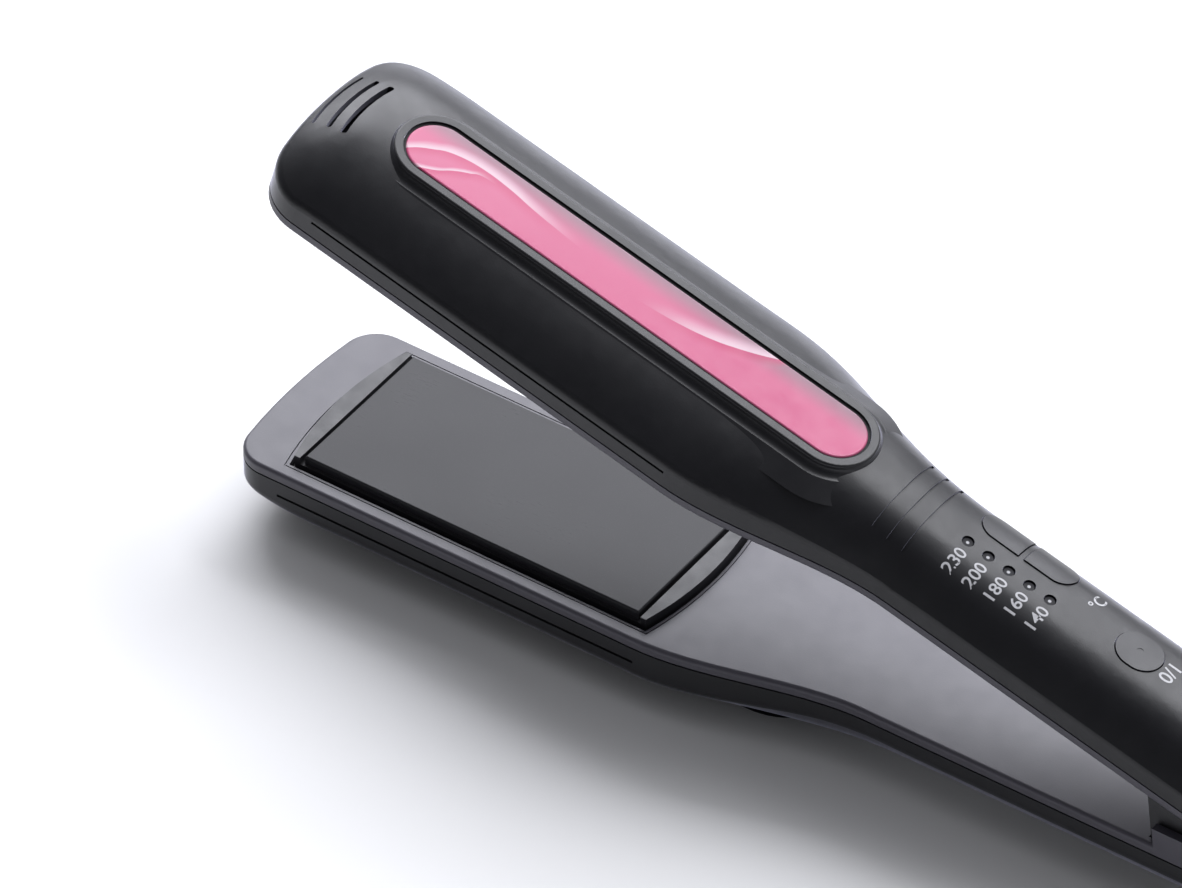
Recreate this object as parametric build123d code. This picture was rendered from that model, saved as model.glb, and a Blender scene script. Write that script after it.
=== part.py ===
"""Wide-plate flat iron: two hinged arms, floating heater plates, handle controls, swivel cord gland.

Each arm is drawn in the arm frame: the hinge axis is the Y axis, the tip points to -X, and +Z
points away from the other arm. The lower arm is the same drawing mirrored in the hinge plane.
The row frame puts the iron, open at its sprung rest angle, on the lower arm's inlay rim at Z = 0.
"""
import math
import os

from build123d import *

# --- Arms: driving dimensions (mm, degrees) ---
OPEN_ANGLE = 15.4            # between the arms when the spring holds them open
FACE_OFFSET = 2.85           # hinge plane to an arm's inner face
BARREL_WIDTH = 56.4
HANDLE_WIDTH = 35.6
WAIST_START = -165.0         # where the barrel begins to narrow
WAIST_END = -107.0           # where the handle's constant width begins
UPPER_REACH = 285.7          # hinge axis to the tip
LOWER_REACH = 282.9
UPPER_REAR = 12.6            # shell end behind the hinge axis
LOWER_REAR = 14.0
TIP_BOW = 2.6
UPPER_TIP_CORNER = 12.5
LOWER_TIP_CORNER = 9.0
REAR_CORNER = 7.0
WALL = 2.2
RIM_HEIGHT = 3.0             # height of the inner shell's side rim
FLOOR = 2.0                  # thickness of the inner shell's face
EDGE_ROUND = 1.0
SEAM = 0.45                  # width and depth of the parting groove

# --- Roof (outer skin) heights above the hinge plane ---
BARREL_CROWN = 23.2
HANDLE_CROWN = 20.3
UPPER_BARREL_SHOULDER = 12.4
LOWER_BARREL_SHOULDER = 13.9
HANDLE_SHOULDER = 9.8
BARREL_POWER = 2.5           # squareness of the cross-section
HANDLE_POWER = 3.1
TIP_ROUND_LENGTH = 20.0
TIP_CROWN_DROP = 7.0
UPPER_TIP_SHOULDER_DROP = 3.4
LOWER_TIP_SHOULDER_DROP = 5.6
REAR_ROUND_LENGTH = 24.0
REAR_CROWN_DROP = 3.0
CROWN_FALL_START = -138.0
CROWN_FALL_END = -92.0
ROOF_WALL = 2.4
SHOULDER_ROUND = 3.0
ROOF_OVERHANG = 1.1          # roof surface width over the arm's own width
STATION_PITCH = 11.0         # spacing of the roof's sections

# --- Inlay and its raised rim ---
INLAY_FRONT = -263.0
INLAY_REAR = -131.0
INLAY_WIDTH = 17.0
SEAL_WIDTH = 0.7
SEAL_DROP = 0.35             # the seal lies this far under the panel's top
PANEL_ROUND = 0.5
RIM_LAND = 2.3
RIM_TOP = 24.3
PANEL_THICKNESS = 1.7
PANEL_SET = 0.25             # the panel lies this far under the rim
RIM_SKIRT = 2.4              # how far the rim's concave foot spreads
RIM_SKIRT_DEPTH = 2.6
RIM_NECK = 1.0               # straight part of the rim's flank
RIM_DRAFT = 0.3
RIM_EDGE_ROUND = 0.6
RIM_ROOT = 3.0               # how far the rim's body reaches under its foot
RIM_ROOT_SPREAD = 5.0        # and how far it spreads there
SHELL_SCREW_X = (-151.0, -140.0)

# --- Plate and its floating carrier ---
PLATE_LENGTH = 96.0
PLATE_WIDTH = 44.0
PLATE_THICKNESS = 2.4
PLATE_ROUND = 0.5
PLATE_FRONT = -263.5
CLOSED_PLATE_GAP = 0.3
CARRIER_WIDTH = 45.4
CARRIER_END_GAP = 1.0        # dark gap between plate and carrier end
CARRIER_END_DROP = 0.45      # carrier ends lie under the plate face
CARRIER_END = 1.5            # carrier end width at the corners
CARRIER_BOW = 3.2
CARRIER_DEPTH = 3.7
CARRIER_LEDGE = 4.5
FLANGE_OUT = 1.9
FLANGE_THICKNESS = 1.0
OPENING_SIDE_GAP = 1.3
OPENING_END_GAP = 0.7
MOVING_GAP = 0.3
LIP = 0.6                    # land round the plate opening, inside a fine groove
LIP_GROOVE = 0.3             # width and depth of that groove
ELEMENT = (78.0, 15.0, 1.6)
RAIL_HEIGHT = 2.6
RAIL_WIDTH = 1.8
ELEMENT_SLACK = 0.15
ELEMENT_INSET = 2.0          # the element ends this far inside its rails
CLAMP_INSET = 6.0
CLAMP_PAD = (6.0, 8.0)
CLAMP_PAD_PLACES = (-0.7, 0.0, 0.7)
CLAMP_WINDOW = (8.0, 10.0)
CLAMP_WINDOW_PLACES = (-0.35, 0.35)
BEAD_R = 1.1
BEAD_LENGTH = 6.0
CLAMP_THICKNESS = 0.6
CUSHION_RADIUS = 3.0
CUSHION_HEIGHT = 4.0
CUSHION_INSET_X = 10.0
CUSHION_INSET_Y = 3.4
CUSHION_SEAT = 0.8           # the shell's seat is this much wider than the pad

# --- Side line, vents and grip ribs ---
SIDE_GROOVE_HEIGHT = 9.6
SIDE_GROOVE = 0.7
SIDE_GROOVE_LEAD = 4.0       # it starts this far ahead of the plate
VENT_X = (-283.6, -279.6, -275.7)
VENT_WIDTH = (0.7, 1.2, 1.6)
VENT_LENGTH = 20.0
VENT_BOW = 0.9
RIB_X = (-118.4, -114.0, -109.6)
RIB_WIDTH = 0.8
RIB_DEPTH = 0.5
RIB_LENGTH = 25.0

# --- Controls in the upper handle ---
LIGHT_FRONT_X = -99.6
LIGHT_PITCH = 5.85
LIGHT_COUNT = 5
LIGHT_Y = -1.2
LIGHT_HOLE_R = 1.55
LIGHT_GUIDE_R = 1.3
LIGHT_RECESS = 0.5
GUIDE_STRIP = (2.4, 3.2, 1.2) # end reach, width and thickness
GUIDE_LIFT = 1.0             # over the board
GUIDE_LEG_R = 0.8
DIODE = (1.6, 1.2, 0.7)
POWER_DIODE_SHIFT = 1.6
TEMP_FRONT_X = -101.2
TEMP_LENGTH = 12.3
TEMP_GAP = 1.7
TEMP_WIDTH = 9.2
TEMP_Y = 8.6
POWER_X = -52.7
POWER_Y = 1.6
POWER_LENGTH = 11.8
POWER_WIDTH = 10.4
POWER_LENS_R = 0.8
LENS_SET = 0.1               # the lens lies this far under the key's top
BUTTON_GAP = 0.25
BUTTON_PROUD = 0.35
BUTTON_DEPTH = 3.4
BUTTON_FLANGE = 0.9
BUTTON_TRAVEL = 0.5
BOARD = (71.0, 22.0, 1.6)
BOARD_FRONT_X = -108.0
BOARD_Z = 9.6
BOARD_LEAD_REACH = 4.0       # the heater leads end this far over the board's front edge
BOARD_POST_INSET = (3.2, 2.6)
# front, rear, left, right and drop of each block-shaped part, from the board's middle
BOARD_PARTS = ((-16.0, -6.0, -7.0, -2.0, 4.2), (2.0, 12.0, 2.0, 7.5, 4.2), (-12.0, -3.0, 2.0, 6.2, 4.0))
CHOKE = (6.0, -5.0, 3.2, 3.8)  # X, Y, radius and drop
POST_R = 2.3
BOSS_DROP = 3.0              # bosses end this far under the handle's crown, inside its skin
MERGE = 0.4                  # overlap that joins two shapes of one piece
SWITCH_SIDE = 6.0
SWITCH_HEIGHT = 3.4
SWITCH_STEM_R = 1.5
SWITCH_STEM = 0.6
SWITCH_REST = 0.15           # extra gap under a plunger
SWITCH_SHIFT = 2.1           # temperature switches sit this far inboard of their buttons
POWER_SWITCH_SHIFT = 3.2

# --- Hinge ---
PIN_R = 2.5
PIN_CLEARANCE = 0.05
BUSH_R = 4.0
KNUCKLE_R = 7.4
KNUCKLE_WIDTH = 25.0
KNUCKLE_FRONT = -26.0
KNUCKLE_BASE_Z = 7.9
KNUCKLE_BASE = 4.6
WEB_LOW = 1.5
WEB_INSET = 0.4
WEB_REAR_TAPER = 2.0
WEB_FRONT_SPREAD = 4.0
KNUCKLE_SCREW = (4.5, 8.0)   # behind the knuckle's front edge, and either side
BRACKET_SCREW_Y = 7.5
BRACKET_SCREW_INSET = (5.0, 2.3)  # from the bracket's front and rear edges
FIT_GAP = 0.02               # radial gap of a pressed fit
EAR_FIN = 9.0                # length of the fin's top edge
PIN_CHAMFER = 0.3
SPRING_SLOT = 13.0           # between the knuckle's two lugs
EAR_GAP = 0.3
EAR_THICKNESS = 2.4
EAR_FRONT = -30.2
EAR_LEAN = 1.6               # the ear's front edge leans this far forward at its top
EAR_TOP = 10.6
EAR_R = 9.5
BRACKET_BASE_Z = 8.9
BRACKET_BASE = 1.8
BRACKET_REAR = 7.0
LEAD_NOTCH = (8.0, 8.4)      # length and width of the notch in the bracket's rear edge
CHEEK_FRONT = -28.0
CHEEK_TOP = 2.4              # lower arm's side cheeks fill the gap between the arms
CHEEK_REAR_TOP = 0.5
CHEEK_CREST_REAR = -1.0
CHEEK_ROOT = 1.0
FLOOR_END_GAP = 0.4
UPPER_FLOOR_END = -34.6
SPRING_WIRE_R = 0.8
SPRING_R = 5.2
SPRING_TURNS = 4             # whole turns
SPRING_PITCH = 2.0
SPRING_LEG = 16.0
SPRING_UPPER_TILT = 6.5      # degrees; the leg rises from the coil to the knuckle's base
SPRING_LOWER_TILT = 10.0     # degrees; the leg falls from the coil to the bracket's base

# --- Swivel gland ---
GLAND_Z = -8.6
GLAND_R = 4.7
CORD_BORE_R = 3.3
GLAND_CLEARANCE = 0.05
GLAND_FLANGE_R = 6.3
GLAND_FLANGE = 1.6
GLAND_COLLAR_R = 6.4
GLAND_COLLAR = 1.8
GLAND_NOSE = 8.0
GLAND_NOSE_ROOT_R = 5.6
GLAND_NOSE_R = 4.6
GLAND_AXIAL_GAP = 0.3

# --- Fasteners and wires ---
TERMINAL_REAR = -56.0
TERMINAL_LENGTH = 16.0
TERMINAL_WIDTH = 16.0
TERMINAL_HEIGHT = 7.0
TERMINAL_WELL_R = 1.6
TERMINAL_WELL = 4.0
SCREW_R = 1.1
SCREW_HEAD_R = 2.1
SCREW_HEAD = 1.4
SCREW_LENGTH = 7.0
PILOT_GAP = 0.05
SCREW_HOLE_GAP = 0.2         # clearance of the holes that screws pass through
SCREW_END_GAP = 0.4
SCREW_SEAT = 1.6             # material under a sunk screw head
DRIVE = (2.6, 0.5, 0.6)      # length, width and depth of a screw's slot
BOSS_WALL = 0.6              # extra radius of a load-bearing boss
WIRE_R = 0.9
HEATER_LEAD_Y = 4.5
HEATER_LEAD_WIDE_Y = 7.0
HEATER_LEAD_HIGH = 10.0      # over the plate
HEATER_LEAD_MID = 7.4
HEATER_LEAD_LOW = 7.0        # in the handle
HEATER_LEAD_BENDS = (2.2, 8.0, 12.0, 12.0)
SUPPLY_LEAD_BENDS = (2.0, 4.0, 8.0, 6.0)
SUPPLY_LEAD_DEEP = 13.6      # under the bracket's base
SUPPLY_LEAD_Y = (1.7, 3.0, 4.0)
SUPPLY_WIRE_R = 1.1
LEAD_START_INSET = 3.0
LEAD_GAP = 0.6               # between the gland's bore and the leads

RIM_Z = FACE_OFFSET + RIM_HEIGHT
FLOOR_Z = FACE_OFFSET + FLOOR
HALF_BARREL = BARREL_WIDTH / 2
HALF_HANDLE = HANDLE_WIDTH / 2
PLATE_REAR = PLATE_FRONT + PLATE_LENGTH
PLATE_MID = (PLATE_FRONT + PLATE_REAR) / 2
PLATE_Z = CLOSED_PLATE_GAP / 2
PLATE_BACK = PLATE_Z + PLATE_THICKNESS
CARRIER_BACK = PLATE_BACK + CARRIER_DEPTH
FLANGE_Z = FLOOR_Z + MOVING_GAP
EAR_INNER = KNUCKLE_WIDTH / 2 + EAR_GAP
EAR_OUTER = EAR_INNER + EAR_THICKNESS
GLAND_TIP = LOWER_REAR + GLAND_AXIAL_GAP + GLAND_COLLAR + GLAND_NOSE
SKY = 60.0                   # taller than anything in an arm
UPPER = "upper"
LOWER = "lower"
REACH = {UPPER: UPPER_REACH, LOWER: LOWER_REACH}
TIP_CORNER = {UPPER: UPPER_TIP_CORNER, LOWER: LOWER_TIP_CORNER}
BARREL_SHOULDER = {UPPER: UPPER_BARREL_SHOULDER, LOWER: LOWER_BARREL_SHOULDER}
TIP_SHOULDER_DROP = {UPPER: UPPER_TIP_SHOULDER_DROP, LOWER: LOWER_TIP_SHOULDER_DROP}
REAR = {UPPER: UPPER_REAR, LOWER: LOWER_REAR}


# --- Outline and roof ---
def ease(value):
    """Smooth step from 0 to 1."""
    t = min(1.0, max(0.0, value))
    return t * t * (3.0 - 2.0 * t)


def blend(start, end, share):
    return start + (end - start) * share


def outline(arm, inset=0.0):
    """Plan face of an arm, drawn inset from its outer edge."""
    barrel = HALF_BARREL - inset
    handle = HALF_HANDLE - inset
    reach = inset - REACH[arm]
    front = reach + TIP_BOW
    rear = REAR[arm] - inset
    third = (WAIST_END - WAIST_START) / 3.0
    tip = ThreePointArc((front, -barrel), (reach, 0), (front, barrel))
    lines = [tip, Line((rear, handle), (rear, -handle))]
    for side in (1.0, -1.0):
        waist_in = (WAIST_START, side * barrel)
        waist_out = (WAIST_END, side * handle)
        pull_in = (WAIST_START + third, side * barrel)
        pull_out = (WAIST_END - third, side * handle)
        lines.append(Line((front, side * barrel), waist_in))
        lines.append(Bezier(waist_in, pull_in, pull_out, waist_out))
        lines.append(Line(waist_out, (rear, side * handle)))
    face = make_face(Curve() + lines)
    tips = [v for v in face.vertices() if v.X < front + 1.0]
    face = fillet(tips, TIP_CORNER[arm] - inset)
    rears = [v for v in face.vertices() if v.X > rear - 1.0]
    return fillet(rears, REAR_CORNER - inset)


def roof_height(arm, x, y):
    """Height of the outer skin above the hinge plane."""
    waist = ease((x - WAIST_START) / (WAIST_END - WAIST_START))
    fall = ease((x - CROWN_FALL_START) / (CROWN_FALL_END - CROWN_FALL_START))
    tip = max(0.0, (TIP_ROUND_LENGTH - REACH[arm] - x) / TIP_ROUND_LENGTH)
    rear = max(0.0, (x - REAR[arm] + REAR_ROUND_LENGTH) / REAR_ROUND_LENGTH)
    half = half_width(x)
    power = blend(BARREL_POWER, HANDLE_POWER, waist)
    shoulder = blend(BARREL_SHOULDER[arm], HANDLE_SHOULDER, waist) - TIP_SHOULDER_DROP[arm] * tip ** 2
    crown = blend(BARREL_CROWN, HANDLE_CROWN, fall) - TIP_CROWN_DROP * tip ** 2 - REAR_CROWN_DROP * rear ** 2
    return shoulder + (crown - shoulder) * (1.0 - abs(y / half) ** power)


def half_width(x):
    waist = ease((x - WAIST_START) / (WAIST_END - WAIST_START))
    return blend(HALF_BARREL, HALF_HANDLE, waist)


def roof_stations(arm):
    """Evenly spaced sections from before the tip to behind the rear end."""
    span = REACH[arm] + REAR[arm] + 2 * STATION_PITCH
    count = round(span / STATION_PITCH)
    return [-REACH[arm] - STATION_PITCH + step * span / count for step in range(count + 1)]


def roof_block(arm, drop=0.0):
    """Everything under the outer skin lowered by drop."""
    sections = []
    for x in roof_stations(arm):
        reach = ROOF_OVERHANG * half_width(x)
        points = [(x, step * reach / 4.0) for step in range(-4, 5)]
        skin = Spline([(px, py, roof_height(arm, px, py) - drop) for px, py in points])
        left = skin @ 0
        right = skin @ 1
        corner_left = Vector(x, left.Y, -SKY)
        corner_right = Vector(x, right.Y, -SKY)
        sides = [Line(right, corner_right), Line(corner_right, corner_left), Line(corner_left, left)]
        sections.append(Face(Wire([skin] + sides)))
    return loft(sections)


def prism(face, low, high):
    return extrude(Pos(0, 0, low) * face, high - low)


def rod(radius, low, high, x, y):
    """Round post along Z."""
    return Pos(x, y, low) * Cylinder(radius, high - low, align=(Align.CENTER, Align.CENTER, Align.MIN))


def bar(radius, low, high, x=0.0, z=0.0):
    """Round bar along Y."""
    return Pos(x, (low + high) / 2.0, z) * Rot(90, 0, 0) * Cylinder(radius, high - low)


def axle(radius, low, high, z):
    """Round bar along X."""
    return Pos((low + high) / 2.0, 0, z) * Rot(0, 90, 0) * Cylinder(radius, high - low)


def block(x_range, y_range, z_range):
    size = [pair[1] - pair[0] for pair in (x_range, y_range, z_range)]
    centre = [(pair[0] + pair[1]) / 2.0 for pair in (x_range, y_range, z_range)]
    return Pos(*centre) * Box(*size)


def side_profile(points, y_low, y_high):
    """Polygon in the XZ plane, extruded from y_low to y_high."""
    face = make_face(Polyline(*[(x, 0, z) for x, z in points], close=True))
    return Pos(0, y_high, 0) * extrude(face, y_high - y_low, dir=(0, -1, 0))


def stadium(front, rear, width):
    """Plan face with round ends between two X positions."""
    length = rear - front
    return Pos((front + rear) / 2.0, 0) * SlotOverall(length, width)


# --- Outer shell ---
def rim_section():
    """Right half of the inlay rim's section, measured from the stadium's centre line."""
    edge = INLAY_WIDTH / 2.0 + RIM_LAND
    foot = edge + RIM_SKIRT
    low = RIM_TOP - RIM_SKIRT_DEPTH
    base = low - RIM_ROOT
    neck = RIM_TOP - RIM_NECK
    waist = (edge + 0.28 * RIM_SKIRT, low + 0.35 * RIM_SKIRT_DEPTH)
    top_round = RIM_EDGE_ROUND
    lines = [
        Line((0, base), (foot + RIM_ROOT_SPREAD, base)),
        Line((foot + RIM_ROOT_SPREAD, base), (foot, low)),
        ThreePointArc((foot, low), waist, (edge + RIM_DRAFT, neck)),
        Line((edge + RIM_DRAFT, neck), (edge, RIM_TOP - top_round)),
        ThreePointArc((edge, RIM_TOP - top_round), (edge - 0.3 * top_round, RIM_TOP - 0.3 * top_round),
                      (edge - top_round, RIM_TOP)),
        Line((edge - top_round, RIM_TOP), (0, RIM_TOP)),
        Line((0, RIM_TOP), (0, base)),
    ]
    return make_face(Curve() + lines)


def inlay_rim():
    """Raised rim under and around the inlay: a stadium with a concave foot."""
    radius = INLAY_WIDTH / 2.0
    section = rim_section()
    upright = Plane((0, 0, 0), x_dir=(0, 1, 0), z_dir=(1, 0, 0))
    front_x = INLAY_FRONT + radius
    rear_x = INLAY_REAR - radius
    half = Pos(front_x, 0, 0) * extrude(upright * section, rear_x - front_x)
    straight = half + mirror(half, about=Plane.XZ)
    ends = []
    for centre_x, turn in ((front_x, 90.0), (rear_x, -90.0)):
        spun = revolve(Plane.XZ * section, Axis.Z, 180.0)
        lowest = spun.bounding_box()
        facing = turn if lowest.max.Y > 1.0 else -turn
        ends.append(Pos(centre_x, 0, 0) * Rot(0, 0, facing) * spun)
    return straight + ends[0] + ends[1]


def outer_blank(arm):
    blank = prism(outline(arm), RIM_Z, SKY) & roof_block(arm)
    shoulder = [e for e in blank.edges() if e.bounding_box().min.Z > RIM_Z + 1.0]
    return fillet(shoulder, SHOULDER_ROUND)


def bowed_slot(centre_x, length, width, bow):
    """Slot across the arm whose middle stands forward by bow."""
    reach = (length - width) / 2.0
    path = ThreePointArc((centre_x + bow, -reach), (centre_x, 0), (centre_x + bow, reach))
    return SlotArc(path.edge(), width)


def vents(arm):
    cuts = []
    for offset_x, width in zip(VENT_X, VENT_WIDTH):
        x = offset_x + REACH[UPPER] - REACH[arm]
        cuts.append(prism(bowed_slot(x, VENT_LENGTH, width, VENT_BOW), BARREL_SHOULDER[arm] - 1.0, SKY))
    return cuts


def grip_ribs(arm):
    cuts = []
    skin = roof_block(arm, RIB_DEPTH)
    half = RIB_WIDTH / 2.0
    for x in RIB_X:
        strip = block((x - half, x + half), (-RIB_LENGTH / 2, RIB_LENGTH / 2), (RIM_Z, SKY))
        cuts.append(strip - skin)
    return cuts


def side_groove(arm):
    band = outline(arm, -1.0) - outline(arm, SIDE_GROOVE)
    tall = prism(band, SIDE_GROOVE_HEIGHT, SIDE_GROOVE_HEIGHT + SIDE_GROOVE)
    return tall & block((PLATE_FRONT - SIDE_GROOVE_LEAD, WAIST_START), (-SKY, SKY), (0, SKY))


def seam_groove(arm):
    band = outline(arm, -1.0) - outline(arm, SEAM)
    return prism(band, RIM_Z - SEAM, RIM_Z)


def cushion_places():
    x_in = CUSHION_INSET_X
    y = CARRIER_WIDTH / 2 - CUSHION_INSET_Y
    return [(x, side * y) for x in (PLATE_FRONT + x_in, PLATE_REAR - x_in) for side in (1, -1)]


def cushion_posts():
    low = CARRIER_BACK + CUSHION_HEIGHT
    high = UPPER_BARREL_SHOULDER + ROOF_WALL
    return [rod(CUSHION_RADIUS + CUSHION_SEAT, low, high, x, y) for x, y in cushion_places()]


def board_post_places():
    x_in, y_in = BOARD_POST_INSET
    ends = (BOARD_FRONT_X + x_in, BOARD_FRONT_X + BOARD[0] - x_in)
    return [(x, side * (BOARD[1] / 2 - y_in)) for x in ends for side in (1, -1)]


def pilot(low, x, y):
    return rod(SCREW_R + PILOT_GAP, low - 0.1, low + SCREW_LENGTH, x, y)


def inlay_pocket():
    depth = PANEL_THICKNESS + PANEL_SET
    return prism(stadium(INLAY_FRONT, INLAY_REAR, INLAY_WIDTH), RIM_TOP - depth, SKY)


def shell_screw_cuts():
    cuts = []
    low = RIM_TOP - PANEL_THICKNESS - PANEL_SET
    for x in SHELL_SCREW_X:
        cuts.append(rod(SCREW_R + SCREW_HOLE_GAP, RIM_Z, SKY, x, 0))
        cuts.append(rod(SCREW_HEAD_R + SCREW_HOLE_GAP, low - SCREW_HEAD, SKY, x, 0))
    return cuts


def outer_shell(arm):
    """Outer half of an arm: skin, inlay rim, vents, ribs and inner posts."""
    cavity = prism(outline(arm, WALL), 0, SKY) & roof_block(arm, ROOF_WALL)
    shell = (outer_blank(arm) + inlay_rim()) - cavity
    posts = cushion_posts()
    holes = [inlay_pocket(), side_groove(arm)] + vents(arm) + grip_ribs(arm) + shell_screw_cuts()
    screw_seat = RIM_TOP - PANEL_THICKNESS - PANEL_SET - SCREW_HEAD
    boss_top = HANDLE_CROWN - BOSS_DROP
    board_top = BOARD_Z + BOARD[2]
    knuckle_top = KNUCKLE_BASE_Z + KNUCKLE_BASE
    bracket_top = BRACKET_BASE_Z + BRACKET_BASE
    for x in SHELL_SCREW_X:
        posts.append(rod(SCREW_HEAD_R + 2 * BOSS_WALL, screw_seat - SCREW_SEAT, screw_seat + MERGE, x, 0))
    if arm == UPPER:
        for x, y in board_post_places():
            posts.append(rod(POST_R, board_top, boss_top, x, y))
            holes.append(pilot(board_top, x, y))
        for x, y in knuckle_screw_places():
            posts.append(rod(POST_R + BOSS_WALL, knuckle_top, boss_top, x, y))
            holes.append(pilot(knuckle_top, x, y))
        holes.extend(control_cuts())
    else:
        for x, y in bracket_screw_places():
            posts.append(rod(POST_R + BOSS_WALL, bracket_top, boss_top, x, y))
            holes.append(pilot(bracket_top, x, y))
        holes.append(axle(GLAND_R + GLAND_CLEARANCE, 0.0, SKY, -GLAND_Z))
    for post in posts:
        shell = shell + post
    for hole in holes:
        shell = shell - hole
    return shell


# --- Inner shell ---
def bowed_face(front, rear, width, bow):
    """Rectangle whose two short ends bow outward."""
    half = width / 2.0
    lines = [
        ThreePointArc((front, -half), (front - bow, 0), (front, half)),
        Line((front, half), (rear, half)),
        ThreePointArc((rear, half), (rear + bow, 0), (rear, -half)),
        Line((rear, -half), (front, -half)),
    ]
    return make_face(Curve() + lines)


def carrier_face(grow_side=0.0, grow_end=0.0):
    end = CARRIER_END_GAP + CARRIER_END + grow_end
    return bowed_face(PLATE_FRONT - end, PLATE_REAR + end, CARRIER_WIDTH + 2 * grow_side, CARRIER_BOW)


def cheek(side):
    """Side wall that stands in the gap between the arms, beside the bracket's ear."""
    rise = -CHEEK_TOP
    lean = EAR_LEAN * (FACE_OFFSET + CHEEK_TOP) / (FACE_OFFSET + EAR_TOP)
    root = FACE_OFFSET + CHEEK_ROOT
    rear = LOWER_REAR - REAR_CORNER
    points = [(CHEEK_FRONT, root), (CHEEK_FRONT - lean, rise), (CHEEK_CREST_REAR, rise),
              (rear, -CHEEK_REAR_TOP), (rear, root)]
    low = HALF_HANDLE - WALL
    wall = side_profile(points, low, HALF_HANDLE)
    return wall if side > 0 else mirror(wall, about=Plane.XZ)


def inner_shell(arm):
    """Plate-side half of an arm: face, rim and the opening for the plate carrier."""
    blank = prism(outline(arm), FACE_OFFSET, RIM_Z)
    blank = fillet(blank.edges().group_by(Axis.Z)[0], EDGE_ROUND)
    shell = blank - prism(outline(arm, WALL), FLOOR_Z, SKY) - seam_groove(arm)
    opening = carrier_face(OPENING_SIDE_GAP, OPENING_END_GAP)
    groove_in = LIP
    groove_out = LIP + LIP_GROOVE
    groove = carrier_face(OPENING_SIDE_GAP + groove_out, OPENING_END_GAP + groove_out)
    groove = groove - carrier_face(OPENING_SIDE_GAP + groove_in, OPENING_END_GAP + groove_in)
    shell = shell - prism(opening, 0, SKY) - prism(groove, 0, FACE_OFFSET + LIP_GROOVE)
    floor_end = UPPER_FLOOR_END if arm == UPPER else EAR_FRONT - FLOOR_END_GAP
    half = HALF_HANDLE - WALL
    shell = shell - block((floor_end, REAR[arm] - WALL), (-half, half), (0, SKY))
    for x in SHELL_SCREW_X:
        top = RIM_TOP - PANEL_THICKNESS - PANEL_SET - SCREW_HEAD - SCREW_SEAT
        shell = shell + rod(POST_R + BOSS_WALL, FLOOR_Z, top, x, 0)
        shell = shell - rod(SCREW_R + PILOT_GAP, top - SCREW_LENGTH, top + 1.0, x, 0)
    if arm == LOWER:
        shell = shell + cheek(1) + cheek(-1)
        shell = shell - axle(GLAND_R + GLAND_CLEARANCE, 0.0, SKY, -GLAND_Z)
    return shell


# --- Inlay ---
def inlay_panel():
    top = RIM_TOP - PANEL_SET
    width = INLAY_WIDTH - 2 * SEAL_WIDTH
    face = stadium(INLAY_FRONT + SEAL_WIDTH, INLAY_REAR - SEAL_WIDTH, width)
    panel = prism(face, top - PANEL_THICKNESS, top)
    return fillet(panel.edges().group_by(Axis.Z)[-1], PANEL_ROUND)


def inlay_seal():
    top = RIM_TOP - PANEL_SET - SEAL_DROP
    ring = stadium(INLAY_FRONT, INLAY_REAR, INLAY_WIDTH)
    hole = stadium(INLAY_FRONT + SEAL_WIDTH, INLAY_REAR - SEAL_WIDTH, INLAY_WIDTH - 2 * SEAL_WIDTH)
    return prism(ring - hole, RIM_TOP - PANEL_SET - PANEL_THICKNESS, top)


# --- Floating plate ---
def heater_plate():
    face = Pos(PLATE_MID, 0) * Rectangle(PLATE_LENGTH, PLATE_WIDTH)
    plate = prism(face, PLATE_Z, PLATE_BACK)
    plate = fillet(plate.edges().group_by(Axis.Z)[0], PLATE_ROUND)
    rail_y = ELEMENT[1] / 2 + ELEMENT_SLACK
    half_rail = ELEMENT[0] / 2
    for side in (1, -1):
        span = sorted((side * rail_y, side * (rail_y + RAIL_WIDTH)))
        plate = plate + block((PLATE_MID - half_rail, PLATE_MID + half_rail), span,
                              (PLATE_BACK, PLATE_BACK + RAIL_HEIGHT))
    return plate


def plate_carrier():
    """Frame that holds the plate and floats in the inner shell's opening."""
    front_gap = PLATE_FRONT - CARRIER_END_GAP
    rear_gap = PLATE_REAR + CARRIER_END_GAP
    body = prism(carrier_face(), PLATE_Z + CARRIER_END_DROP, CARRIER_BACK)
    body = body - block((front_gap, rear_gap), (-SKY, SKY), (0, PLATE_BACK))
    window_x = (PLATE_FRONT + CARRIER_LEDGE, PLATE_REAR - CARRIER_LEDGE)
    window_y = PLATE_WIDTH / 2 - CARRIER_LEDGE
    body = body - block(window_x, (-window_y, window_y), (0, SKY))
    flange = carrier_face(FLANGE_OUT, FLANGE_OUT) - carrier_face()
    return body + prism(flange, FLANGE_Z, FLANGE_Z + FLANGE_THICKNESS)


def heating_element():
    half = ELEMENT[0] / 2 - ELEMENT_INSET
    return block((PLATE_MID - half, PLATE_MID + half), (-ELEMENT[1] / 2, ELEMENT[1] / 2),
                 (PLATE_BACK, PLATE_BACK + ELEMENT[2]))


def clamp_block(share, size, z_range):
    """Block at a share of the clamp's half length from its middle."""
    centre = PLATE_MID + share * (ELEMENT[0] / 2 - CLAMP_INSET)
    length, width = size
    return block((centre - length / 2, centre + length / 2), (-width / 2, width / 2), z_range)


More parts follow.
